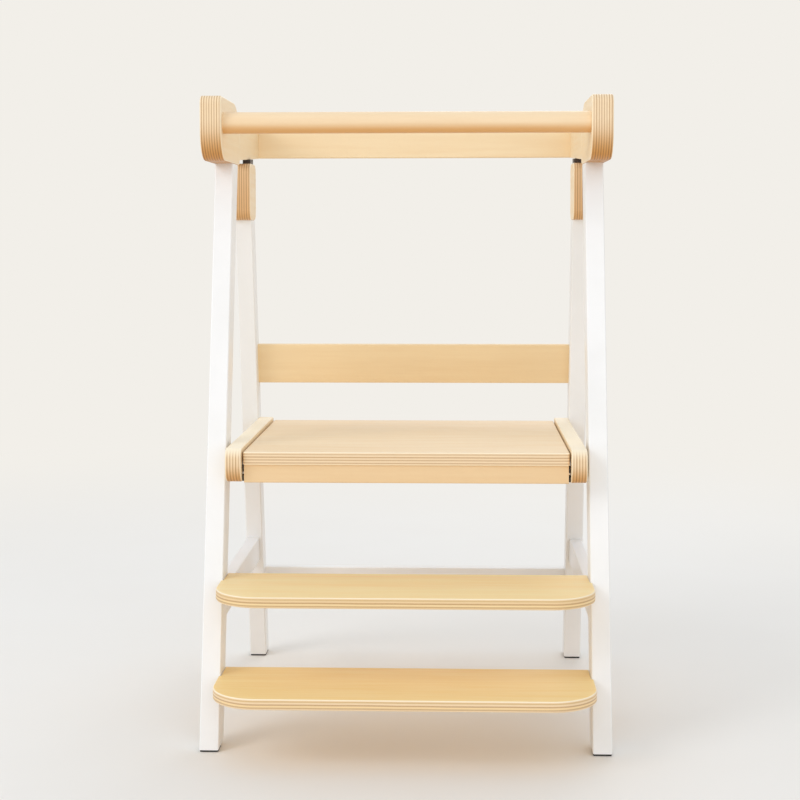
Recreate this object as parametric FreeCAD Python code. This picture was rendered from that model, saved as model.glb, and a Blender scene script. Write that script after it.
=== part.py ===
import FreeCAD, Part
import os
from math import sin, cos, tan, radians, hypot
from FreeCAD import Vector

# Toddler learning tower: two slanted side frames, two steps, a platform and a waist-high guard ring.
# +X is the right side seen from the steps, -Y is the side with the steps, +Z is up.
# The origin lies on the floor, midway across the width and midway along the overall depth.

# overall sizes
total_height = 900.0          # floor to the top of the front head plates
leg_span = 564.0              # outer face to outer face of the front legs
foot_depth = 540.0            # front face of a front foot to rear face of a rear foot
front_lean = radians(12.7)    # front legs lean back towards the top
rear_lean = radians(12.0)     # rear legs lean forward towards the top

# legs and feet
leg_width = 27.0
front_leg_depth = 46.0        # square to the slanted front face
rear_leg_depth = 38.0
rear_inset = 5.2              # each rear leg stands this much nearer the middle
foot_heel_radius = 18.0
leg_edge = 2.0                # rounding of the long leg edges
pad_thickness = 2.5
pad_margin = 1.0
pad_corner = 2.0
pad_peg_diameter = 6.0
pad_peg_length = 10.0

# front head plates that carry the hand bar
head_height = 89.0
head_thickness = 30.0
head_offset = 0.5             # inner face outside the inner face of the leg
head_reach = 117.0            # ahead of the leg's front face
head_heel = 26.0              # behind the leg's rear face
head_corners = dict(front_low=40.0, front_top=12.0, rear_top=60.0, rear_low=8.0)
plate_edge = 2.5

# side arms from the front head plates to the top rear rail
arm_thickness = 22.0
arm_drop = 12.0               # top of the arm below the top of the head plate
arm_front_height = 69.0
arm_rear_height = 55.0
arm_end = 5.5                 # arm behind the top rear rail
arm_corners = dict(front_low=3.0, front_top=22.0, rear_top=12.0, rear_low=12.0)

# rear head blocks between rear legs and side arms
rear_head_gap = 1.0           # below the front end of the arm
rear_head_height = 88.0
rear_head_depth = 70.0
rear_head_reach = 17.0        # ahead of the top of the rear leg
rear_head_corner = 16.0
tongue_thickness = 12.0
tongue_setback = 18.0
tongue_root = 6.0
tongue_edge = 0.5

# hand bar
bar_diameter = 30.0
bar_drop = 37.0               # axis below the top of the head plates
bar_setback = 23.5            # axis behind the front end of the head plates
bar_tenon = 12.0
bar_chamfer = 0.8

# rear rails
rail_thickness = 18.0
top_rail_reach = 82.2         # front face behind the rear head blocks
mid_rail_rise = 62.0          # above the platform
mid_rail_height = 63.0
low_rail_low = 108.0
low_rail_height = 45.0
rail_edge = 1.5

# side rails between front and rear legs
side_rail_low = 169.0
side_rail_height = 40.0
side_rail_thickness = 20.0

# platform
platform_height = 406.5
board_thickness = 18.0
board_corner = 3.0
bracket_height = 48.0
bracket_lip = 5.0             # bracket above the board
bracket_thickness = 22.0
bracket_front = 39.5          # front end of the brackets, behind the front feet
bracket_rear_inset = 14.0     # rear end short of the rear leg's rear face
bracket_corners = dict(front_low=24.0, front_top=14.0, rear_top=8.0, rear_low=16.0)
board_inset_front = 9.0       # board behind the front end of the brackets
board_inset_rear = 5.0
platform_gap = 2.0            # open joint between board and bracket
apron_setback = 3.0
apron_inset = 1.0

# steps
step_thickness = 15.0
lower_step_height = 100.0
upper_step_height = 227.0
lower_step_reach = 88.0       # front edge ahead of the front feet
upper_step_reach = 55.0
step_ear = 3.0                # overlap on the front of each leg
step_ear_corner = 2.5
step_front_radius = 64.0
step_edge = 2.0

# bolts, barrel nuts and threaded inserts
bolt_diameter = 6.0
bolt_head_diameter = 14.0
bolt_head_height = 2.6
bolt_head_chamfer = 0.6
bolt_hex = 4.0
bolt_hex_depth = 2.0
bolt_recess = 3.0
bolt_tip_cover = 1.2          # wood left beyond the tips of the bracket bolts
bar_bolt_grip = 30.0          # bolt inside the hand bar
nut_diameter = 10.0
nut_length = 12.0
nut_setback = 18.0            # nut centre behind the joint face
nut_from_tip = 8.0
insert_diameter = 10.0
insert_length = 16.0
insert_cover = 0.5            # wood left beyond the inner end of an insert
insert_sink = 1.0             # insert below the end of the hand bar
step_bolt_offset = -10.0      # along the leg's depth, from its middle
spacer_diameter = 18.0

# dowels and pins
dowel_diameter = 8.0
dowel_depth = 20.0
dowel_cover = 7.0             # wood left beyond a dowel in a leg or arm
mid_rail_dowel_offset = 20.0  # above and below the bolt
low_rail_dowel_offset = 14.0
top_rail_dowel_offset = 17.0
step_dowel_offset = 11.0      # along the leg's depth, from its middle
arm_dowel_rises = (12.0, 32.0)
side_rail_dowel_inset = 10.0
front_head_dowel_offset = 12.0
rear_head_dowel_offset = 9.0
pin_diameter = 6.0
pin_depth = 12.0
board_pin_spacing = 150.0

# screws through the brackets into the two bearers
screw_diameter = 4.0
screw_head_diameter = 8.0
screw_head_height = 2.4
screw_grip = 20.0             # screw inside the bearer
screw_offset = 6.5            # above and below the middle of the bearer
washer_diameter = 10.0

# clearances
bolt_clearance = 0.3          # round a bolt in a plain hole
head_clearance = 0.5          # round a bolt head in its recess
close_fit = 0.05              # round pins, nuts, inserts and tenons
end_gap = 0.5                 # beyond the end of anything in a blind hole
mouth = 20.0                  # hole tools run this far out into the open

# derived positions
overall_depth = foot_depth + lower_step_reach
front_foot_y = lower_step_reach - overall_depth / 2
rear_foot_y = overall_depth / 2
outer_x = leg_span / 2
inner_x = outer_x - leg_width
rear_outer_x = outer_x - rear_inset
rear_inner_x = rear_outer_x - leg_width
front_run = front_leg_depth / cos(front_lean)
rear_run = rear_leg_depth / cos(rear_lean)
leaning_rail_run = rail_thickness / cos(rear_lean)
head_low = total_height - head_height
head_inner_x = inner_x + head_offset
head_outer_x = head_inner_x + head_thickness
arm_outer_x = head_inner_x + arm_thickness
arm_top = total_height - arm_drop
arm_front_low = arm_top - arm_front_height
arm_rear_low = arm_top - arm_rear_height
rear_head_top = arm_front_low - rear_head_gap
rear_head_low = rear_head_top - rear_head_height
bar_height = total_height - bar_drop
mid_rail_low = platform_height + mid_rail_rise
bracket_outer_x = rear_inner_x
bracket_inner_x = bracket_outer_x - bracket_thickness
board_half = bracket_inner_x - platform_gap
apron_half = board_half - apron_inset
bracket_top = platform_height + bracket_lip
bracket_low = bracket_top - bracket_height
board_low = platform_height - board_thickness


def front_face(z):
    return front_foot_y + (z - pad_thickness) * tan(front_lean)


def rear_face(z):
    return rear_foot_y - (z - pad_thickness) * tan(rear_lean)


head_front_y = front_face(head_low) - head_reach
head_rear_y = front_face(head_low) + front_run + head_heel
bar_y = head_front_y + bar_setback
rear_head_front_y = rear_face(rear_head_low) - rear_run - rear_head_reach
rear_head_rear_y = rear_head_front_y + rear_head_depth
top_rail_y = rear_head_rear_y + top_rail_reach
arm_rear_y = top_rail_y + rail_thickness + arm_end
bracket_front_y = front_foot_y + bracket_front
bracket_rear_y = rear_face(bracket_top) - bracket_rear_inset
board_front_y = bracket_front_y + board_inset_front
board_rear_y = bracket_rear_y - board_inset_rear


def arm_low(y):
    share = (y - head_rear_y) / (arm_rear_y - head_rear_y)
    return arm_front_low + share * (arm_rear_low - arm_front_low)


# ---- shape helpers ----

def outline(corners, place):
    """Closed wire through corners (a, b, radius); place turns (a, b) into a point."""
    ends, arcs = [], []
    n = len(corners)
    for i in range(n):
        ax, ay, _ = corners[i - 1]
        bx, by, r = corners[i]
        cx, cy, _ = corners[(i + 1) % n]
        ux, uy = ax - bx, ay - by
        vx, vy = cx - bx, cy - by
        lu, lv = hypot(ux, uy), hypot(vx, vy)
        ux, uy, vx, vy = ux / lu, uy / lu, vx / lv, vy / lv
        if r <= 0:
            ends.append(((bx, by), (bx, by)))
            arcs.append(None)
            continue
        half_cos = hypot(ux + vx, uy + vy) / 2        # of half the corner angle
        half_sin = (1 - half_cos * half_cos) ** 0.5
        run = r * half_cos / half_sin
        reach = r / half_sin
        mx, my = (ux + vx) / (2 * half_cos), (uy + vy) / (2 * half_cos)
        ends.append(((bx + ux * run, by + uy * run), (bx + vx * run, by + vy * run)))
        arcs.append((bx + mx * (reach - r), by + my * (reach - r)))
    edges = []
    for i in range(n):
        start, stop = ends[i]
        if arcs[i]:
            edges.append(Part.Arc(place(*start), place(*arcs[i]), place(*stop)).toShape())
        following = ends[(i + 1) % n][0]
        if hypot(following[0] - stop[0], following[1] - stop[1]) > 1e-6:
            edges.append(Part.makeLine(place(*stop), place(*following)))
    return Part.Wire(edges)


def prism_x(corners, xa, xb):
    """Profile in the YZ plane carried from xa to xb."""
    low, high = min(xa, xb), max(xa, xb)
    face = Part.Face(outline(corners, lambda y, z: Vector(low, y, z)))
    return face.extrude(Vector(high - low, 0, 0))


def prism_z(corners, low, high):
    """Profile in the XY plane carried from low to high."""
    face = Part.Face(outline(corners, lambda x, y: Vector(x, y, low)))
    return face.extrude(Vector(0, 0, high - low))


def soften(solid, axis, levels, radius):
    """Round the rim edges that lie in the planes axis = level."""
    rim = []
    for edge in solid.Edges:
        box = edge.BoundBox
        low = (box.XMin, box.YMin, box.ZMin)[axis]
        high = (box.XMax, box.YMax, box.ZMax)[axis]
        if high - low < 1e-4 and any(abs(low - level) < 1e-3 for level in levels):
            rim.append(edge)
    return solid.makeFillet(radius, rim)


def upright_slab(corners, xa, xb, edge):
    return soften(prism_x(corners, xa, xb), 0, (xa, xb), edge)


def flat_slab(corners, low, high, edge):
    return soften(prism_z(corners, low, high), 2, (low, high), edge)


def plate_corners(front, rear, low, high, radii):
    """Rounded rectangle in the YZ plane."""
    return [(front, low, radii["front_low"]), (front, high, radii["front_top"]),
            (rear, high, radii["rear_top"]), (rear, low, radii["rear_low"])]


def rod(start, way, length, diameter):
    return Part.makeCylinder(diameter / 2, length, Vector(*start), Vector(*way))


def stretched_rod(start, way, length, diameter, grow, extra):
    """Rod grown by grow all round and by extra at both ends."""
    first = Vector(*start) - Vector(*way) * extra
    return rod(first, way, length + 2 * extra, diameter + 2 * grow)


def mirrored(points):
    return [(side * x, y, z) for side in (-1, 1) for x, y, z in points]


def cut_all(solid, cutters):
    near = [c for c in cutters if c.BoundBox.intersect(solid.BoundBox)]
    return solid.cut(near).removeSplitter() if near else solid


# ---- joints: each place is given once, on the +X side ----

def leaning_rail_axis(low, height):
    z = low + height / 2
    return rear_face(z) - leaning_rail_run / 2, z


mid_rail_y, mid_rail_z = leaning_rail_axis(mid_rail_low, mid_rail_height)
low_rail_y, low_rail_z = leaning_rail_axis(low_rail_low, low_rail_height)
top_rail_mid_y = top_rail_y + rail_thickness / 2
top_rail_mid_z = (arm_rear_low + arm_top) / 2
bracket_mid_z = (bracket_top + bracket_low) / 2
front_bracket_y = front_face(bracket_mid_z) + front_run / 2
rear_bracket_y = (rear_face(bracket_mid_z) - rear_run + bracket_rear_y) / 2
bar_insert_x = head_inner_x + bar_tenon - insert_sink - insert_length
apron_y = board_front_y + apron_setback + rail_thickness / 2
rear_bearer_y = board_rear_y - apron_setback - rail_thickness / 2


def step_middles():
    """Middle of the leg's depth at each step, half way up the board."""
    heights = [height - step_thickness / 2 for height in (lower_step_height, upper_step_height)]
    return [(front_face(z) + front_run / 2, z) for z in heights]


def nut_places():
    """Face of the joint, y, z and the way the nut's hole opens."""
    square_back = (0, cos(rear_lean), sin(rear_lean))
    places = [(rear_inner_x, mid_rail_y, mid_rail_z, square_back),
              (rear_inner_x, low_rail_y, low_rail_z, square_back),
              (head_inner_x, top_rail_mid_y, top_rail_mid_z, (0, 1, 0))]
    for y, z in step_middles():
        places.append((inner_x, y + step_bolt_offset, z, (0, 0, -1)))
    return places


def long_bolt_places():
    """Seat x, tip x, y and z."""
    places = []
    for face, y, z, way in nut_places():
        if face != head_inner_x:
            seat = rear_outer_x if face == rear_inner_x else outer_x
            places.append((seat - bolt_recess, face - nut_setback - nut_from_tip, y, z))
    places.append((outer_x - bolt_recess, bracket_inner_x + bolt_tip_cover, front_bracket_y, bracket_mid_z))
    return places


def short_bolt_places():
    """Seat x, tip x, y and z."""
    return [(arm_outer_x - bolt_recess, head_inner_x - nut_setback - nut_from_tip,
             top_rail_mid_y, top_rail_mid_z),
            (rear_outer_x - bolt_recess, bracket_inner_x + bolt_tip_cover, rear_bracket_y, bracket_mid_z),
            (head_outer_x - bolt_recess, head_inner_x + bar_tenon - bar_bolt_grip, bar_y, bar_height)]


def insert_places():
    """Inner end of each threaded insert."""
    inner = bracket_inner_x + insert_cover
    return [(inner, front_bracket_y, bracket_mid_z), (inner, rear_bracket_y, bracket_mid_z),
            (bar_insert_x, bar_y, bar_height)]


def cross_dowels():
    """Dowels along X: face of the joint, depth into the upright piece, y and z."""
    in_leg, in_arm = leg_width - dowel_cover, arm_thickness - dowel_cover
    spots = []
    for side in (-1, 1):
        for y, z, offset in ((mid_rail_y, mid_rail_z, mid_rail_dowel_offset),
                             (low_rail_y, low_rail_z, low_rail_dowel_offset)):
            rise = side * offset
            spots.append((rear_inner_x, in_leg, y - rise * tan(rear_lean), z + rise))
        spots.append((head_inner_x, in_arm, top_rail_mid_y, top_rail_mid_z + side * top_rail_dowel_offset))
    for y, z in step_middles():
        spots.append((inner_x, in_leg, y + step_dowel_offset, z))
    return spots


def lengthwise_dowels():
    """Joint point of each dowel along Y."""
    arm_middle = head_inner_x + arm_thickness / 2
    spots = [(arm_middle, head_rear_y, arm_front_low + rise) for rise in arm_dowel_rises]
    rail_middle = inner_x + side_rail_thickness / 2
    for rise in (side_rail_dowel_inset, side_rail_height - side_rail_dowel_inset):
        z = side_rail_low + rise
        spots.append((rail_middle, front_face(z) + front_run, z))
        spots.append((rail_middle, rear_face(z) - rear_run, z))
    return spots


def upright_dowels():
    """Joint point of each dowel along Z."""
    front_x, rear_x = (head_inner_x + outer_x) / 2, (rear_inner_x + rear_outer_x) / 2
    front_y = front_face(head_low) + front_run / 2
    rear_y = rear_face(rear_head_low) - rear_run / 2
    spots = []
    for side in (-1, 1):
        spots.append((front_x, front_y + side * front_head_dowel_offset, head_low))
        spots.append((rear_x, rear_y + side * rear_head_dowel_offset, rear_head_low))
    return spots


def pin_places():
    """Middle of each pin along Z: board on its two bearers, arm on the tongue of the rear head block."""
    spots = [(column * board_pin_spacing, y, board_low) for y in (apron_y, rear_bearer_y)
             for column in (-1, 0, 1)]
    y = (rear_head_front_y + rear_head_rear_y) / 2
    middle = (head_inner_x + rear_inner_x + leg_edge + tongue_thickness) / 2
    return spots + mirrored([(middle, y, arm_low(y))])


def screw_places():
    """Middle of the joint face of each screw."""
    middle = (bracket_low + board_low) / 2
    return [(bracket_outer_x, y, middle + side * screw_offset) for y in (apron_y, rear_bearer_y)
            for side in (-1, 1)]


# ---- hardware, as solids and as the tools that cut its holes ----

def bolt_holes(places):
    cutters = []
    for side in (-1, 1):
        for seat, tip, y, z in places:
            start = (side * seat, y, z)
            cutters.append(rod(start, (-side, 0, 0), seat - tip + 2 * end_gap,
                               bolt_diameter + 2 * bolt_clearance))
            cutters.append(rod(start, (side, 0, 0), mouth, bolt_head_diameter + 2 * head_clearance))
    return cutters


def bolts(places):
    solids = []
    for side in (-1, 1):
        for seat, tip, y, z in places:
            top = side * (seat + bolt_head_height)
            head = rod((side * seat, y, z), (side, 0, 0), bolt_head_height, bolt_head_diameter)
            rim = [e for e in head.Edges if abs(e.BoundBox.XMin - top) < 1e-3 and e.BoundBox.XLength < 1e-4]
            shank = rod((side * seat, y, z), (-side, 0, 0), seat - tip, bolt_diameter)
            corner = bolt_hex / 2 / cos(radians(30))
            ring = [Vector(top, y + corner * cos(radians(60 * k)), z + corner * sin(radians(60 * k)))
                    for k in range(7)]
            key = Part.Face(Part.makePolygon(ring)).extrude(Vector(-side * bolt_hex_depth, 0, 0))
            solids.append(head.makeChamfer(bolt_head_chamfer, rim).fuse(shank).cut(key).removeSplitter())
    return Part.makeCompound(solids)


def nut_rods(grow, open_length):
    shapes = []
    for side in (-1, 1):
        for face, y, z, way in nut_places():
            centre = Vector(side * (face - nut_setback), y, z)
            start = centre - Vector(*way) * (nut_length / 2)
            shapes.append(rod(start, way, nut_length + open_length, nut_diameter + 2 * grow))
    return shapes


def bored(body):
    middle = body.CenterOfMass
    hole = rod((middle.x - mouth, middle.y, middle.z), (1, 0, 0), 2 * mouth, bolt_diameter + 2 * close_fit)
    return body.cut(hole)


def insert_shapes(grow, extra):
    shapes = []
    for start in mirrored(insert_places()):
        outward = (-1 if start[0] < 0 else 1, 0, 0)
        shapes.append(stretched_rod(start, outward, insert_length, insert_diameter, grow, extra))
    return shapes


def dowel_shapes(grow, extra):
    shapes = []
    for side in (-1, 1):
        for face, depth, y, z in cross_dowels():
            start = (side * (face - dowel_depth), y, z)
            shapes.append(stretched_rod(start, (side, 0, 0), dowel_depth + depth,
                                        dowel_diameter, grow, extra))
    for x, y, z in mirrored(lengthwise_dowels()):
        shapes.append(stretched_rod((x, y - dowel_depth, z), (0, 1, 0), 2 * dowel_depth,
                                    dowel_diameter, grow, extra))
    for x, y, z in mirrored(upright_dowels()):
        shapes.append(stretched_rod((x, y, z - dowel_depth), (0, 0, 1), 2 * dowel_depth,
                                    dowel_diameter, grow, extra))
    return shapes


def pin_shapes(grow, extra):
    return [stretched_rod((x, y, z - pin_depth), (0, 0, 1), 2 * pin_depth, pin_diameter, grow, extra)
            for x, y, z in pin_places()]


def screw_shapes(grow):
    length = bracket_outer_x - apron_half + screw_grip
    shapes = []
    for x, y, z in mirrored(screw_places()):
        inward = (1 if x < 0 else -1, 0, 0)
        shank = rod((x, y, z), inward, length, screw_diameter + 2 * grow)
        head = Part.makeCone(screw_head_diameter / 2 + grow, screw_diameter / 2 + grow, screw_head_height,
                             Vector(x, y, z), Vector(*inward))
        shapes.append(shank.fuse(head))
    return shapes


def bracket_spacers():
    solids = []
    for side in (-1, 1):
        start, width = (side * bracket_outer_x, front_bracket_y, bracket_mid_z), inner_x - bracket_outer_x
        body = rod(start, (side, 0, 0), width, spacer_diameter)
        hole = stretched_rod(start, (side, 0, 0), width, bolt_diameter, bolt_clearance, end_gap)
        solids.append(body.cut(hole))
    return Part.makeCompound(solids)


def platform_washers():
    solids = []
    for x, y, z in mirrored(screw_places()):
        side = -1 if x < 0 else 1
        start, width = (side * apron_half, y, z), bracket_inner_x - apron_half
        body = rod(start, (side, 0, 0), width, washer_diameter)
        hole = stretched_rod(start, (side, 0, 0), width, screw_diameter, close_fit, end_gap)
        solids.append(body.cut(hole))
    return Part.makeCompound(solids)


hole_tools = (bolt_holes(long_bolt_places()) + bolt_holes(short_bolt_places()) + nut_rods(close_fit, mouth)
              + insert_shapes(close_fit, end_gap) + dowel_shapes(close_fit, end_gap)
              + pin_shapes(close_fit, end_gap) + screw_shapes(close_fit))


# ---- side frames ----

def leg_corners(face, run, low, high, heel):
    """Leaning leg: face gives its front or rear face at a height, run leads to the opposite face."""
    return [(face(low), low, 0), (face(high), high, 0),
            (face(high) + run, high, 0), (face(low) + run, low, heel)]


def front_leg(side):
    corners = leg_corners(front_face, front_run, pad_thickness, head_low, foot_heel_radius)
    leg = upright_slab(corners, side * inner_x, side * outer_x, leg_edge)
    return cut_all(leg, hole_tools + [pad_peg(side, True, close_fit, end_gap)])


def rear_leg(side):
    corners = leg_corners(rear_face, -rear_run, pad_thickness, rear_head_low, 0)
    leg = upright_slab(corners, side * rear_inner_x, side * rear_outer_x, leg_edge)
    return cut_all(leg, hole_tools + [pad_peg(side, False, close_fit, end_gap)])


def pad_extent(front):
    """Front and rear end of a foot pad."""
    if front:
        start = front_face(pad_thickness)
        return start + pad_margin, start + front_run - foot_heel_radius - pad_margin
    stop = rear_face(pad_thickness)
    return stop - rear_run + pad_margin, stop - pad_margin


def pad_peg(side, front, grow, extra):
    y0, y1 = pad_extent(front)
    x = side * ((inner_x + outer_x) / 2 if front else (rear_inner_x + rear_outer_x) / 2)
    return rod((x, (y0 + y1) / 2, pad_thickness), (0, 0, 1), pad_peg_length + extra,
               pad_peg_diameter + 2 * grow)


def foot_pad(side, front):
    y0, y1 = pad_extent(front)
    near = side * ((inner_x if front else rear_inner_x) + pad_margin)
    far = side * ((outer_x if front else rear_outer_x) - pad_margin)
    corners = [(near, y0, pad_corner), (far, y0, pad_corner), (far, y1, pad_corner), (near, y1, pad_corner)]
    return prism_z(corners, 0, pad_thickness).fuse(pad_peg(side, front, 0, 0)).removeSplitter()


def front_head(side):
    corners = plate_corners(head_front_y, head_rear_y, head_low, total_height, head_corners)
    plate = upright_slab(corners, side * head_inner_x, side * head_outer_x, plate_edge)
    socket = stretched_rod((side * head_inner_x, bar_y, bar_height), (side, 0, 0), bar_tenon,
                           bar_diameter, close_fit, end_gap)
    return cut_all(plate, hole_tools + [socket])


def side_arm(side):
    c = arm_corners
    corners = [(head_rear_y, arm_front_low, c["front_low"]), (head_rear_y, arm_top, c["front_top"]),
               (arm_rear_y, arm_top, c["rear_top"]), (arm_rear_y, arm_rear_low, c["rear_low"])]
    return cut_all(upright_slab(corners, side * head_inner_x, side * arm_outer_x, rail_edge), hole_tools)


def rear_head(side):
    radii = dict.fromkeys(("front_low", "front_top", "rear_top", "rear_low"), rear_head_corner)
    corners = plate_corners(rear_head_front_y, rear_head_rear_y, rear_head_low, rear_head_top, radii)
    block = upright_slab(corners, side * rear_inner_x, side * rear_outer_x, leg_edge)
    y0, y1 = rear_head_front_y + tongue_setback, rear_head_rear_y - tongue_setback
    root = rear_head_top - tongue_root
    near = rear_inner_x + leg_edge
    tongue = upright_slab([(y0, root, 0), (y0, arm_low(y0), 0), (y1, arm_low(y1), 0), (y1, root, 0)],
                          side * near, side * (near + tongue_thickness), tongue_edge)
    return cut_all(block.fuse(tongue).removeSplitter(), hole_tools)


def side_rail(side):
    low, high = side_rail_low, side_rail_low + side_rail_height
    corners = [(front_face(low) + front_run, low, 0), (front_face(high) + front_run, high, 0),
               (rear_face(high) - rear_run, high, 0), (rear_face(low) - rear_run, low, 0)]
    rail = upright_slab(corners, side * inner_x, side * (inner_x + side_rail_thickness), leg_edge)
    return cut_all(rail, hole_tools)


# ---- pieces across the tower ----

def hand_bar():
    reach = head_inner_x + bar_tenon
    bar = rod((-reach, bar_y, bar_height), (1, 0, 0), 2 * reach, bar_diameter)
    rims = [e for e in bar.Edges if e.BoundBox.XLength < 1e-4]
    return cut_all(bar.makeChamfer(bar_chamfer, rims), hole_tools)


def leaning_rail(low, height):
    high = low + height
    corners = [(rear_face(low) - leaning_rail_run, low, rail_edge),
               (rear_face(high) - leaning_rail_run, high, rail_edge),
               (rear_face(high), high, rail_edge), (rear_face(low), low, rail_edge)]
    return cut_all(prism_x(corners, -rear_inner_x, rear_inner_x), hole_tools)


def top_rear_rail():
    radii = dict.fromkeys(("front_low", "front_top", "rear_top", "rear_low"), rail_edge)
    corners = plate_corners(top_rail_y, top_rail_y + rail_thickness, arm_rear_low, arm_top, radii)
    return cut_all(prism_x(corners, -head_inner_x, head_inner_x), hole_tools)


def platform_bracket(side):
    corners = plate_corners(bracket_front_y, bracket_rear_y, bracket_low, bracket_top, bracket_corners)
    plate = upright_slab(corners, side * bracket_inner_x, side * bracket_outer_x, rail_edge)
    return cut_all(plate, hole_tools)


def platform_board():
    corners = [(-board_half, board_front_y, board_corner), (board_half, board_front_y, board_corner),
               (board_half, board_rear_y, board_corner), (-board_half, board_rear_y, board_corner)]
    return cut_all(flat_slab(corners, board_low, platform_height, rail_edge), hole_tools)


def bearer(middle):
    front, rear = middle - rail_thickness / 2, middle + rail_thickness / 2
    corners = [(front, bracket_low, rail_edge), (front, board_low, 0), (rear, board_low, 0),
               (rear, bracket_low, rail_edge)]
    return cut_all(prism_x(corners, -apron_half, apron_half), hole_tools)


def step(height, reach):
    """Board between the front legs, with a rounded front that overlaps them by an ear on each side."""
    front, notch = front_foot_y - reach, front_face(height)
    back = notch + front_run
    ear = inner_x + step_ear
    corners = [(-inner_x, back, 0), (-inner_x, notch, 0), (-ear, notch, step_ear_corner),
               (-ear, front, step_front_radius), (ear, front, step_front_radius),
               (ear, notch, step_ear_corner), (inner_x, notch, 0), (inner_x, back, 0)]
    board = flat_slab(corners, height - step_thickness, height, step_edge)
    legs = [prism_x(leg_corners(front_face, front_run, 0, total_height, 0), side * inner_x, side * outer_x)
            for side in (-1, 1)]
    return cut_all(board.cut(legs), hole_tools)


def main():
    nodes = {}
    for name, side in (("left", -1), ("right", 1)):
        nodes[name + "_front_leg"] = front_leg(side)
        nodes[name + "_rear_leg"] = rear_leg(side)
        nodes[name + "_front_head_plate"] = front_head(side)
        nodes[name + "_rear_head_block"] = rear_head(side)
        nodes[name + "_side_arm"] = side_arm(side)
        nodes[name + "_side_rail"] = side_rail(side)
        nodes[name + "_platform_bracket"] = platform_bracket(side)
        nodes[name + "_front_foot_pad"] = foot_pad(side, True)
        nodes[name + "_rear_foot_pad"] = foot_pad(side, False)
    nodes["hand_bar"] = hand_bar()
    nodes["top_rear_rail"] = top_rear_rail()
    nodes["middle_rear_rail"] = leaning_rail(mid_rail_low, mid_rail_height)
    nodes["lower_rear_rail"] = leaning_rail(low_rail_low, low_rail_height)
    nodes["platform_board"] = platform_board()
    nodes["platform_apron"] = bearer(apron_y)
    nodes["platform_rear_bearer"] = bearer(rear_bearer_y)
    nodes["lower_step"] = step(lower_step_height, lower_step_reach)
    nodes["upper_step"] = step(upper_step_height, upper_step_reach)
    nodes["long_bolts"] = bolts(long_bolt_places())
    nodes["short_bolts"] = bolts(short_bolt_places())
    nodes["barrel_nuts"] = Part.makeCompound([bored(nut) for nut in nut_rods(0, 0)])
    nodes["threaded_inserts"] = Part.makeCompound([bored(insert) for insert in insert_shapes(0, 0)])
    nodes["bracket_spacers"] = bracket_spacers()
    nodes["platform_screws"] = Part.makeCompound(screw_shapes(0))
    nodes["platform_washers"] = platform_washers()
    nodes["wooden_dowels"] = Part.makeCompound(dowel_shapes(0, 0))
    nodes["wooden_pins"] = Part.makeCompound(pin_shapes(0, 0))
    os.makedirs("parts", exist_ok=True)
    for node, shape in nodes.items():
        shape.exportStep("parts/" + node + ".step")
        print(node, len(shape.Solids), shape.isValid(), round(shape.Volume))


main()
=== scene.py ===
import math
import bpy
import numpy as np
from mathutils import Matrix, Vector


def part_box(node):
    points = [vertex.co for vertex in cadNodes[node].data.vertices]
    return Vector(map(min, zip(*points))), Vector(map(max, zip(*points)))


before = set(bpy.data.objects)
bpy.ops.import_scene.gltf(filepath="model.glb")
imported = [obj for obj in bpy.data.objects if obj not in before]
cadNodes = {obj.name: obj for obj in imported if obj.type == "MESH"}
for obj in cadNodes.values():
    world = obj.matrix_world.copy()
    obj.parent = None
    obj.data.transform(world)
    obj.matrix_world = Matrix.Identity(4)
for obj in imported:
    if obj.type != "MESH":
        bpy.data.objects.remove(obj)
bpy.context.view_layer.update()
print("frame:", len(cadNodes), "nodes")


def colour(red, green, blue):
    # display values from 0 to 255, turned by the screen's curve into the linear values that a shader takes
    values = np.array([red, green, blue]) / 255
    linear = np.where(values <= 0.04045, values / 12.92, ((values + 0.055) / 1.055) ** 2.4)
    return (*linear.tolist(), 1.0)


def place(tree, kind, sockets=None, **settings):
    # a new node: another node's socket is linked to its input, anything else becomes the input's value
    made = tree.nodes.new("ShaderNode" + kind)
    for name, value in settings.items():
        setattr(made, name, value)
    for key, value in (sockets or {}).items():
        if isinstance(value, bpy.types.NodeSocket):
            tree.links.new(value, made.inputs[key])
        else:
            made.inputs[key].default_value = value
    return made


def calc(tree, operation, *values):
    return place(tree, "Math", dict(enumerate(values)), operation=operation).outputs[0]


def ramp(tree, value, low, high, start=0.0, stop=1.0):
    # start where value is low, stop where it is high, eased between them
    made = place(tree, "MapRange", {"Value": value, "From Min": low, "From Max": high, "To Min": start,
                                    "To Max": stop}, interpolation_type="SMOOTHSTEP")
    return made.outputs["Result"]


def blendColour(tree, factor, first, second):
    # the Mix node keeps its colour inputs at 6 and 7 and its colour result at 2
    return place(tree, "Mix", {0: factor, 6: first, 7: second}, data_type="RGBA").outputs[2]


def alongAxis(tree, spot, axis):
    return place(tree, "SeparateXYZ", {0: spot}).outputs[axis]


def newGroup(name, inputs, outputs):
    group = bpy.data.node_groups.new(name, "ShaderNodeTree")
    for socketName, kind, value in inputs:
        socket = group.interface.new_socket(socketName, in_out="INPUT", socket_type="NodeSocket" + kind)
        if value is not None:
            socket.default_value = value
    for socketName in outputs:
        group.interface.new_socket(socketName, in_out="OUTPUT", socket_type="NodeSocketFloat")
    return group, group.nodes.new("NodeGroupInput").outputs, group.nodes.new("NodeGroupOutput").inputs


# stretch: how finely the pattern repeats along the grain and across it; limits: noise from none to full
figureLook = {
    "Streak": {"stretch": (7, 130, 130), "detail": 4.0, "roughness": 0.55, "limits": (0.3, 0.7)},
    "Band": {"stretch": (1.3, 16, 16), "detail": 2.0, "roughness": 0.5, "limits": (0.3, 0.7)},
    "Fleck": {"stretch": (140, 1500, 1500), "detail": 1.0, "roughness": 0.5, "limits": (0.6, 0.72)},
}


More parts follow.
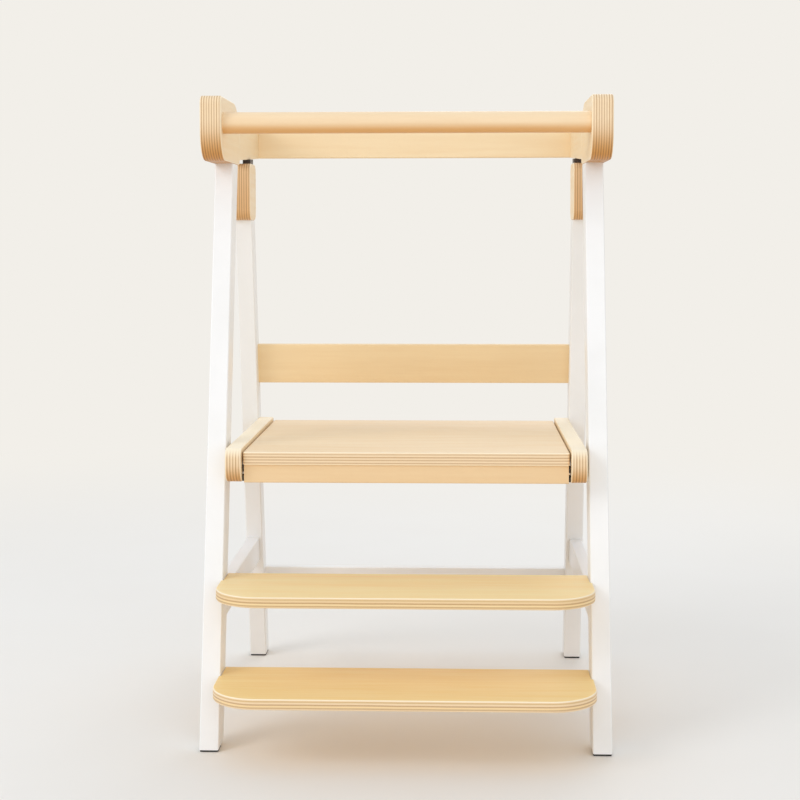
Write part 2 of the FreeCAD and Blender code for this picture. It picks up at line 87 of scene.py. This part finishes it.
def makeWoodFigure():
    # long soft streaks, slow bands and short flecks; X of Vector runs along the grain
    group, given, result = newGroup("woodFigure", [("Vector", "Vector", None), ("Seed", "Float", 0.0)],
                                    list(figureLook))
    for name, look in figureLook.items():
        scaled = place(group, "VectorMath", {0: given["Vector"], 1: look["stretch"]}, operation="MULTIPLY")
        noise = place(group, "TexNoise", {"Vector": scaled.outputs[0], "W": given["Seed"], "Scale": 1.0,
                                          "Detail": look["detail"], "Roughness": look["roughness"]},
                      noise_dimensions="4D")
        group.links.new(ramp(group, noise.outputs["Fac"], *look["limits"]), result[name])
    return group


stackLook = {
    "margin": 0.002,                           # share of the thickness left out of the count at each face
    "wobbleScale": 14.0, "wobbleDetail": 2.0, "wobble": 0.5,      # whole swing of a ply, in plies
    "veneer": (0.4, 0.6),                      # plies from the face at which the face veneer ends
    "glueWave": 0.38,                          # the glue line fades out at this height of the ply wave
    "endWave": (-0.1, -0.7),                   # end grain sets in between these heights of the ply wave
    # the pale rim: the face ply seen in the edge, partly its own paler tone and partly a painted highlight
    # of the rounded edge
    "rimStart": (0.02, 0.12), "rimStop": (1.0, 0.8),              # plies from the face: the pale rim
}


def makePlyStack():
    # plies counted across the thickness; the ply wave is the sine of the count times pi, so it passes zero
    # at each glue line, is below zero in every second ply, and end grain shows there
    group, given, result = newGroup("plyStack", [("Depth", "Float", 0.0), ("Thickness", "Float", 0.015),
                                                 ("Plies", "Float", 11.0), ("Vector", "Vector", None)],
                                    ["EndGrain", "Glue", "Tint", "Rim", "Inside"])
    share = calc(group, "DIVIDE", given["Depth"], given["Thickness"])
    margin = stackLook["margin"]
    inside = calc(group, "MINIMUM", calc(group, "MAXIMUM", share, margin), 1 - margin)
    wobble = place(group, "TexNoise", {"Vector": given["Vector"], "Scale": stackLook["wobbleScale"],
                                       "Detail": stackLook["wobbleDetail"]})
    swing = calc(group, "SUBTRACT", wobble.outputs["Fac"], 0.5)   # half up, half down
    drift = calc(group, "MULTIPLY", swing, stackLook["wobble"])
    product = calc(group, "MULTIPLY", inside, calc(group, "SUBTRACT", 1.0, inside))
    arch = calc(group, "MULTIPLY", product, 4.0)                  # 0 at both faces, 1 halfway
    count = calc(group, "ADD", calc(group, "MULTIPLY", inside, given["Plies"]),
                 calc(group, "MULTIPLY", drift, arch))
    wave = calc(group, "SINE", calc(group, "MULTIPLY", count, math.pi))
    near = ramp(group, calc(group, "ABSOLUTE", wave), stackLook["glueWave"], 0.0)
    toFace = calc(group, "MINIMUM", count, calc(group, "SUBTRACT", given["Plies"], count))
    core = ramp(group, toFace, *stackLook["veneer"])
    rimIn, rimOut = ramp(group, toFace, *stackLook["rimStart"]), ramp(group, toFace, *stackLook["rimStop"])
    tint = place(group, "TexWhiteNoise", {"W": calc(group, "FLOOR", count)}, noise_dimensions="1D")
    endGrain = ramp(group, wave, *stackLook["endWave"])
    group.links.new(calc(group, "MULTIPLY", endGrain, core), result["EndGrain"])
    group.links.new(calc(group, "MULTIPLY", near, core), result["Glue"])
    group.links.new(core, result["Inside"])
    group.links.new(calc(group, "MULTIPLY", rimIn, rimOut), result["Rim"])
    group.links.new(tint.outputs["Value"], result["Tint"])
    return group


woodFigure, plyStack = makeWoodFigure(), makePlyStack()
print("shader groups made")


def newMaterial(name, **constants):
    # constants: values for the shader's own sockets, with _ in place of a space
    material = bpy.data.materials.new(name)
    material.use_nodes = True
    tree = material.node_tree
    surface = tree.nodes["Principled BSDF"]
    for socket, value in constants.items():
        surface.inputs[socket.replace("_", " ")].default_value = value
    return material, tree, surface


def useGroup(tree, group, sockets):
    return place(tree, "Group", sockets, node_tree=group).outputs


def objectSpot(tree):
    return place(tree, "TexCoord").outputs["Object"]


def reorder(tree, spot, order):
    # the grain runs along the first axis named in order
    parts = place(tree, "SeparateXYZ", {0: spot}).outputs
    return place(tree, "CombineXYZ", {i: parts[axis] for i, axis in enumerate(order)}).outputs[0]


def addRelief(tree, surface, height, strength, distance):
    bump = place(tree, "Bump", {"Height": height, "Strength": strength, "Distance": distance})
    tree.links.new(bump.outputs[0], surface.inputs["Normal"])


woodLook = {
    "face": (colour(249, 227, 189), colour(241, 212, 166)),       # pale and deep tone
    # rimPly: the pale ply in the edge, partly a painted highlight; it also paints light on the bracket's
    # top
    "rimPly": colour(253, 238, 208), "sidePly": colour(245, 220, 182),
    "endPly": colour(194, 148, 94), "glue": colour(150, 106, 64),
    # the last tone on the next line is the dark painted shadow on the rear block's tongue
    # the two oblique tones: partly the end grain of the oblique cut, partly painted shade low on the
    # curved cut
    "endGrainAndShadePly": colour(212, 154, 76), "endGrainAndShadeLine": colour(146, 88, 36), "tongueShadow": colour(52, 36, 24),
    "roughness": (0.40, 0.52), "coat": 0.10, "coatRoughness": 0.28,
    "streak": 0.30, "band": 0.45, "fleck": 0.16,                  # shares of the deep tone
    "bump": 0.00004, "bumpStrength": 0.35,
    "poreScale": 1400.0, "poreDetail": 1.0, "poreLimits": (0.35, 0.65), "poreShare": 0.5,
    "sideShare": (0.55, 0.95), "endShare": (0.45, 0.75),          # from the faintest ply to the strongest
    # the blur softens the edge of the painted shadow on the tongue
    "glueShare": 0.25, "tongueShadowBlur": 0.0005,
}


def woodColour(tree, grainSpot, seed, tones):
    pale, deep = tones
    figure = useGroup(tree, woodFigure, {"Vector": grainSpot, "Seed": seed})
    mix = calc(tree, "ADD", calc(tree, "MULTIPLY", figure["Streak"], woodLook["streak"]),
               calc(tree, "MULTIPLY", figure["Band"], woodLook["band"]))
    flecked = calc(tree, "ADD", mix, calc(tree, "MULTIPLY", figure["Fleck"], woodLook["fleck"]))
    return blendColour(tree, flecked, pale, deep), figure


def finishWood(tree, surface, figure, relief):
    roughness = ramp(tree, figure["Streak"], 0.0, 1.0, *woodLook["roughness"])
    tree.links.new(roughness, surface.inputs["Roughness"])
    addRelief(tree, surface, relief, woodLook["bumpStrength"], woodLook["bump"])


def belowHeight(tree, spot, low, high):
    # 1 under the height low, easing to 0 at the height high
    return ramp(tree, alongAxis(tree, spot, "Z"), low, high, 1.0, 0.0)


def plywood(name, thickness, depthOf, order, look, heights):
    # heights: the two heights between which each of dark, pale and the painted shadow on the tongue sets
    # in
    material, tree, surface = newMaterial(name, Coat_Weight=woodLook["coat"],
                                          Coat_Roughness=woodLook["coatRoughness"])
    spot = objectSpot(tree)
    faceTones = look.get("face", woodLook["face"])
    face, figure = woodColour(tree, reorder(tree, spot, order), look["seed"], faceTones)
    stack = useGroup(tree, plyStack, {"Depth": depthOf(tree, spot), "Thickness": thickness,
                                      "Plies": float(look["plies"]), "Vector": spot})
    pores = place(tree, "TexNoise", {"Vector": spot, "Scale": woodLook["poreScale"],
                                     "Detail": woodLook["poreDetail"]}).outputs["Fac"]
    poreMask = ramp(tree, pores, *woodLook["poreLimits"], 0.0, woodLook["poreShare"])
    endTone = blendColour(tree, poreMask, woodLook["endPly"], woodLook["glue"])
    # painted highlight, with the face veneer's tone: the first ply in the edge is made paler
    rimmed = blendColour(tree, stack["Rim"], face, woodLook["rimPly"])
    sideShare = ramp(tree, stack["Tint"], 0.0, 1.0, *woodLook["sideShare"])
    pale = calc(tree, "MULTIPLY", stack["Inside"], sideShare)
    tone = blendColour(tree, pale, rimmed, look.get("side", woodLook["sidePly"]))
    endShare = ramp(tree, stack["Tint"], 0.0, 1.0, *woodLook["endShare"])
    endGrain = calc(tree, "MULTIPLY", stack["EndGrain"], endShare)
    glue = calc(tree, "MULTIPLY", stack["Glue"], woodLook["glueShare"])
    if "dark" in heights:
        # painted shade mixed with end grain: towards the lower edge of the curved cut the plies and lines
        # turn darker and more orange
        endGrainAndShade = calc(tree, "MULTIPLY", calc(tree, "MULTIPLY", stack["Inside"], look["endGrainAndShadeShare"]),
                      belowHeight(tree, spot, *heights["dark"]))
        tone = blendColour(tree, endGrainAndShade, tone, woodLook["endGrainAndShadePly"])
        endTone = blendColour(tree, endGrainAndShade, endTone, woodLook["endGrainAndShadeLine"])
    # painted light: near the top edge the plies turn pale and their end grain and glue lines fade out; the
    # bracket's top gets it
    if "pale" in heights:
        under = belowHeight(tree, spot, *heights["pale"])
        top = calc(tree, "MULTIPLY", calc(tree, "SUBTRACT", 1.0, under), stack["Inside"])
        tone = blendColour(tree, top, tone, woodLook["rimPly"])
        endGrain, glue = calc(tree, "MULTIPLY", endGrain, under), calc(tree, "MULTIPLY", glue, under)
    layered = blendColour(tree, endGrain, tone, endTone)
    tone = blendColour(tree, glue, layered, woodLook["glue"])
    # painted shadow: above the given height the plywood turns dark brown; the rear block's tongue gets it
    if "tongueShadow" in heights:
        tone = blendColour(tree, belowHeight(tree, spot, *heights["tongueShadow"]), woodLook["tongueShadow"], tone)
    tree.links.new(tone, surface.inputs["Base Color"])
    relief = calc(tree, "SUBTRACT", figure["Streak"], calc(tree, "ADD", stack["EndGrain"], stack["Glue"]))
    finishWood(tree, surface, figure, relief)
    return material


def solidWood(name, seed, tones, under=None):
    # under: a second tone, its share, and the two heights between which it sets in downwards; on the hand
    # bar it is painted shade on the underside
    material, tree, surface = newMaterial(name, Coat_Weight=woodLook["coat"],
                                          Coat_Roughness=woodLook["coatRoughness"])
    spot = objectSpot(tree)
    tone, figure = woodColour(tree, spot, seed, tones)
    if under:
        # painted shade: towards the bottom the wood blends into the darker second tone
        lower = calc(tree, "MULTIPLY", belowHeight(tree, spot, *under["heights"]), under["share"])
        tone = blendColour(tree, lower, tone, under["tone"])
    tree.links.new(tone, surface.inputs["Base Color"])
    finishWood(tree, surface, figure, figure["Streak"])
    return material


def acrossFrom(start):
    # distance outwards from the vertical plane x = start, the same on the left and on the right
    def depthOf(tree, spot):
        return calc(tree, "SUBTRACT", calc(tree, "ABSOLUTE", alongAxis(tree, spot, "X")), start)
    return depthOf


def downFrom(top):
    # distance downwards from the level z = top
    def depthOf(tree, spot):
        return calc(tree, "SUBTRACT", top, alongAxis(tree, spot, "Z"))
    return depthOf


def dress(material, *names):
    for name in names:
        slots = cadNodes[name].data.materials
        slots.clear()
        slots.append(material)


def bothSides(*names):
    return [side + name for name in names for side in ("left_", "right_")]


# dark: height above the lower edge over which the curved cut is darker and more orange, partly the end
# grain of the oblique cut and partly painted shade of the downward-facing curve; the oblique share: how
# much darker
# pale, the painted light on the top, and the painted shadow on the tongue: distance below the upper edge
uprightLook = {
    "front_head_plate": {"plies": 17, "seed": 1.0, "dark": 0.060, "endGrainAndShadeShare": 1.0},
    # the rear block's tongue, its top 8 mm, carries a painted shadow
    "rear_head_block": {"plies": 15, "seed": 2.0, "dark": 0.16, "endGrainAndShadeShare": 0.68, "tongueShadow": 0.008},
    "side_arm": {"plies": 13, "seed": 3.0},
    "platform_bracket": {"plies": 11, "seed": 4.0, "dark": 0.035, "endGrainAndShadeShare": 0.8, "pale": 0.014},
}


def dressUpright(name, look):
    # plies are counted across x, and the grain of the faces runs along y
    low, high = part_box("right_" + name)
    heights = {}
    # painted shade, with end grain, over the given height above the lower edge
    if "dark" in look:
        heights["dark"] = (low.z, low.z + look["dark"])
    # painted light on the top, over the given distance below it
    if "pale" in look:
        heights["pale"] = (high.z - look["pale"], high.z)
    # painted shadow on the tongue, from the given distance below the top upwards
    if "tongueShadow" in look:
        edge = high.z - look["tongueShadow"]
        heights["tongueShadow"] = (edge - woodLook["tongueShadowBlur"], edge + woodLook["tongueShadowBlur"])
    dress(plywood(name + "Ply", high.x - low.x, acrossFrom(low.x), "YXZ", look, heights), *bothSides(name))


for name, look in uprightLook.items():
    dressUpright(name, look)

# face: pale and deep tone of the top; side: tone of the plies in the edge
boardLook = {
    "platform_board": {"plies": 9, "seed": 5.0, "face": (colour(243, 219, 180), colour(235, 204, 159))},
    # painted shade: the lower step's top is toned darker and more golden than the upper step's, for the
    # shade under the upper step
    "lower_step": {"plies": 7, "seed": 6.0, "face": (colour(252, 222, 153), colour(243, 205, 127))},
    "upper_step": {"plies": 7, "seed": 7.0, "face": (colour(255, 233, 174), colour(252, 217, 149)),
                   "side": colour(238, 209, 162)},
}


def dressBoard(name, look):
    # plies are counted down from the top, and the grain runs along x
    low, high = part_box(name)
    dress(plywood(name + "Ply", high.z - low.z, downFrom(high.z), "XYZ", look, {}), name)


for name, look in boardLook.items():
    dressBoard(name, look)
print("plywood pieces dressed")

# tones: pale and deep
railLook = {
    "top_rear_rail": {"seed": 8.0, "tones": (colour(250, 229, 189), colour(241, 212, 167))},
    "middle_rear_rail": {"seed": 11.0, "tones": (colour(244, 218, 173), colour(234, 201, 151))},
    "platform_apron": {"seed": 12.0, "tones": (colour(241, 211, 166), colour(231, 195, 146))},
}
for name, look in railLook.items():
    dress(solidWood(name + "Wood", look["seed"], look["tones"]), name)
dress(cadNodes["platform_apron"].data.materials[0], "platform_rear_bearer")

# painted shade: the lower half of the bar is darker and warmer; the two heights where the shade starts and
# is full are given over its axis
barLook = {"seed": 9.0, "tones": (colour(247, 221, 182), colour(237, 204, 160)),
           "underShadeTone": colour(222, 160, 78), "underShadeFrom": 0.000, "underShadeTo": -0.012, "underShadeShare": 0.7}


def dressBar():
    low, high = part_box("hand_bar")
    axis = (low.z + high.z) / 2
    # painted shade on the bar's underside
    under = {"tone": barLook["underShadeTone"], "share": barLook["underShadeShare"],
             "heights": (axis + barLook["underShadeTo"], axis + barLook["underShadeFrom"])}
    dress(solidWood("barWood", barLook["seed"], barLook["tones"], under), "hand_bar")


dressBar()

dowelLook = {"seed": 10.0, "tones": (colour(222, 192, 142), colour(196, 156, 102))}
dress(solidWood("dowelWood", dowelLook["seed"], dowelLook["tones"]), "wooden_dowels", "wooden_pins")
print("solid wood pieces dressed")

lacquerLook = {
    "tone": colour(247, 247, 246), "shade": colour(242, 242, 240),
    "roughness": (0.36, 0.46), "coat": 0.08, "coatRoughness": 0.3,
    "glossScale": 9.0, "glossDetail": 3.0, "glossLimits": (0.3, 0.7),      # slow changes of gloss and tone
    "peelScale": 900.0, "peelDetail": 2.0, "peel": 0.00003, "peelStrength": 0.4,     # faint orange peel
}


def whiteLacquer():
    material, tree, surface = newMaterial("whiteLacquer", Coat_Weight=lacquerLook["coat"],
                                          Coat_Roughness=lacquerLook["coatRoughness"])
    spot = objectSpot(tree)
    peel = place(tree, "TexNoise", {"Vector": spot, "Scale": lacquerLook["peelScale"],
                                    "Detail": lacquerLook["peelDetail"]}).outputs["Fac"]
    noise = place(tree, "TexNoise", {"Vector": spot, "Scale": lacquerLook["glossScale"],
                                     "Detail": lacquerLook["glossDetail"]}).outputs["Fac"]
    gloss = ramp(tree, noise, *lacquerLook["glossLimits"])
    tone = blendColour(tree, gloss, lacquerLook["tone"], lacquerLook["shade"])
    tree.links.new(tone, surface.inputs["Base Color"])
    tree.links.new(ramp(tree, gloss, 0.0, 1.0, *lacquerLook["roughness"]), surface.inputs["Roughness"])
    addRelief(tree, surface, peel, lacquerLook["peelStrength"], lacquerLook["peel"])
    return material


dress(whiteLacquer(), "lower_rear_rail", *bothSides("front_leg", "rear_leg", "side_rail"))

speckLook = {"detail": 3.0, "toneLimits": (0.4, 0.65), "glossLimits": (0.3, 0.7), "bumpStrength": 0.5}
fittingLook = {
    "padRubber": {"tone": colour(34, 33, 32), "speck": colour(52, 50, 48), "scale": 1200.0,
                  "roughness": (0.62, 0.8), "bump": 0.0001, "metallic": 0.0,
                  "pieces": bothSides("front_foot_pad", "rear_foot_pad")},
    "zincSteel": {"tone": colour(186, 186, 182), "speck": colour(158, 158, 156), "scale": 700.0,
                  "roughness": (0.28, 0.42), "bump": 0.00002, "metallic": 1.0,
                  "pieces": ["long_bolts", "short_bolts", "barrel_nuts", "threaded_inserts",
                             "platform_screws"]},
    "whiteNylon": {"tone": colour(232, 231, 226), "speck": colour(220, 218, 212), "scale": 900.0,
                   "roughness": (0.4, 0.5), "bump": 0.00003, "metallic": 0.0,
                   "pieces": ["bracket_spacers"]},
    "blackNylon": {"tone": colour(30, 29, 28), "speck": colour(44, 42, 41), "scale": 900.0,
                   "roughness": (0.45, 0.6), "bump": 0.00003, "metallic": 0.0,
                   "pieces": ["platform_washers"]},
}


def speckled(name, look):
    # moulded or plated stuff: fine specks in colour, gloss and height
    material, tree, surface = newMaterial(name, Metallic=look["metallic"])
    noise = place(tree, "TexNoise", {"Vector": objectSpot(tree), "Scale": look["scale"],
                                     "Detail": speckLook["detail"]}).outputs["Fac"]
    tone = blendColour(tree, ramp(tree, noise, *speckLook["toneLimits"]), look["tone"], look["speck"])
    tree.links.new(tone, surface.inputs["Base Color"])
    gloss = ramp(tree, noise, *speckLook["glossLimits"], *look["roughness"])
    tree.links.new(gloss, surface.inputs["Roughness"])
    addRelief(tree, surface, noise, speckLook["bumpStrength"], look["bump"])
    return material


for name, look in fittingLook.items():
    dress(speckled(name, look), *look["pieces"])
print("lacquered pieces and fittings dressed,", len(bpy.data.materials), "materials")

backdrop = {
    "tone": colour(242, 239, 233), "floor": colour(236, 231, 223), "mottle": colour(239, 235, 228),
    "bounce": colour(229, 212, 190),           # the warm tone that the floor throws back on the tower
    "roughness": 0.75, "specular": 0.2, "mottleScale": 3.0, "mottleDetail": 3.0,
    "radius": 9.0, "drop": 0.0002, "fadeFrom": 0.9, "fadeTo": 3.0, "rings": 24, "spokes": 96,
}


def seenRays(tree, path):
    # 1 for the camera's rays and for reflected and transmitted ones, 0 for those that light a surface
    further = calc(tree, "MAXIMUM", path["Is Glossy Ray"], path["Is Transmission Ray"])
    return calc(tree, "MAXIMUM", path["Is Camera Ray"], further)


def floorMesh():
    # flat disc: rings whose radius grows with the square of their number, each a circle of points, joined
    # by quads, with triangles round the middle point
    rings, spokes = backdrop["rings"], backdrop["spokes"]
    radii = np.linspace(0, 1, rings + 1)[1:] ** 2 * backdrop["radius"]
    angles = np.arange(spokes) / spokes * 2 * math.pi
    radius, angle = np.meshgrid(radii, angles, indexing="ij")
    level = np.full_like(radius, -backdrop["drop"])
    points = np.stack([radius * np.cos(angle), radius * np.sin(angle), level], -1).reshape(-1, 3)
    points = np.vstack([points, [[0, 0, -backdrop["drop"]]]])
    ring, spoke = np.meshgrid(np.arange(rings - 1), np.arange(spokes), indexing="ij")
    following = (spoke + 1) % spokes
    inner, outer = ring * spokes, (ring + 1) * spokes
    corners = [inner + spoke, outer + spoke, outer + following, inner + following]
    quads = np.stack(corners, -1).reshape(-1, 4)
    first = np.arange(spokes)
    centre = np.full(spokes, len(points) - 1)
    triangles = np.stack([centre, first, (first + 1) % spokes], -1)
    mesh = bpy.data.meshes.new("floor")
    mesh.from_pydata(points.tolist(), [], quads.tolist() + triangles.tolist())
    return mesh


def floorMaterial():
    material, tree, surface = newMaterial("paleFloor", Roughness=backdrop["roughness"],
                                          Specular_IOR_Level=backdrop["specular"])
    spot = objectSpot(tree)
    mottle = place(tree, "TexNoise", {"Vector": spot, "Scale": backdrop["mottleScale"],
                                      "Detail": backdrop["mottleDetail"]}).outputs["Fac"]
    path = place(tree, "LightPath").outputs
    cameraRay = path["Is Camera Ray"]
    pale = blendColour(tree, mottle, backdrop["floor"], backdrop["mottle"])
    tone = blendColour(tree, seenRays(tree, path), backdrop["bounce"], pale)
    tree.links.new(tone, surface.inputs["Base Color"])
    away = place(tree, "VectorMath", {0: spot}, operation="LENGTH").outputs["Value"]
    faded = calc(tree, "MULTIPLY", ramp(tree, away, backdrop["fadeFrom"], backdrop["fadeTo"]), cameraRay)
    glow = place(tree, "Emission", {"Color": backdrop["tone"]})
    both = place(tree, "MixShader", {0: faded, 1: surface.outputs[0], 2: glow.outputs[0]})
    below = calc(tree, "MULTIPLY", place(tree, "NewGeometry").outputs["Backfacing"], cameraRay)
    clear = place(tree, "BsdfTransparent").outputs[0]             # a view from below sees the tower
    sided = place(tree, "MixShader", {0: below, 1: both.outputs[0], 2: clear})
    tree.links.new(sided.outputs[0], tree.nodes["Material Output"].inputs["Surface"])
    return material


def makeFloor():
    mesh = floorMesh()
    mesh.materials.append(floorMaterial())
    floor = bpy.data.objects.new("floor", mesh)
    bpy.context.scene.collection.objects.link(floor)


worldLook = {"strength": 0.86, "tone": colour(243, 248, 255)}


def makeWorld():
    # soft light from all round, while the camera and reflections see the backdrop's tone
    world = bpy.data.worlds.new("studio")
    bpy.context.scene.world = world
    world.use_nodes = True
    tree = world.node_tree
    lit = tree.nodes["Background"]
    lit.inputs["Color"].default_value = worldLook["tone"]
    lit.inputs["Strength"].default_value = worldLook["strength"]
    backdropLight = place(tree, "Background", {"Color": backdrop["tone"], "Strength": 1.0})
    shown = seenRays(tree, place(tree, "LightPath").outputs)
    both = place(tree, "MixShader", {0: shown, 1: lit.outputs[0], 2: backdropLight.outputs[0]})
    tree.links.new(both.outputs[0], tree.nodes["World Output"].inputs["Surface"])


lampLook = {
    "keyLamp": {"spot": (-3.0, -2.4, 2.7), "aim": (0, 0, 0.45), "size": 2.2, "power": 49.0},
    "fillLamp": {"spot": (0.8, -3.5, 1.0), "aim": (0, 0, 0.45), "size": 2.8, "power": 20.0},
    "rearLamp": {"spot": (0.8, 2.8, 2.6), "aim": (0, 0, 0.5), "size": 2.4, "power": 22.0},
}
lampTone = colour(247, 250, 255)


def makeLamp(name, look):
    data = bpy.data.lights.new(name, "AREA")
    data.shape, data.size, data.energy, data.color = "DISK", look["size"], look["power"], lampTone[:3]
    lamp = bpy.data.objects.new(name, data)
    lamp.location = look["spot"]
    lamp.rotation_euler = (Vector(look["aim"]) - Vector(look["spot"])).to_track_quat("-Z", "Y").to_euler()
    bpy.context.scene.collection.objects.link(lamp)


makeFloor()
makeWorld()
for name, look in lampLook.items():
    makeLamp(name, look)
print("floor, world and lamps made")

cameraView = {
    "location": (0.0699, -2.3569, 0.7060),
    "turn": 2.040,                             # degrees about the vertical
    "tilt": -2.904,                            # degrees above the horizon
    "roll": -0.067,                            # degrees about the line of sight
    "lens": 71.500, "sensor": 36.0,            # millimetres
    "frame": 800.0,                            # side of the picture in pixels
    "axisPixel": (400.0, 316.0),               # where the line of sight meets the picture
}


def makeCamera():
    data = bpy.data.cameras.new("camera")
    data.sensor_width, data.lens = cameraView["sensor"], cameraView["lens"]
    half = cameraView["frame"] / 2
    data.shift_x = (half - cameraView["axisPixel"][0]) / cameraView["frame"]
    data.shift_y = (cameraView["axisPixel"][1] - half) / cameraView["frame"]
    camera = bpy.data.objects.new("camera", data)
    turn = Matrix.Rotation(math.radians(cameraView["turn"]), 3, "Z")
    level = Matrix.Rotation(math.radians(90 + cameraView["tilt"]), 3, "X")
    roll = Matrix.Rotation(math.radians(cameraView["roll"]), 3, "Z")
    camera.rotation_euler = (turn @ level @ roll).to_euler()
    camera.location = cameraView["location"]
    bpy.context.scene.collection.objects.link(camera)
    bpy.context.scene.camera = camera


makeCamera()
bpy.context.scene.view_settings.view_transform = "Standard"

print("scene ready")
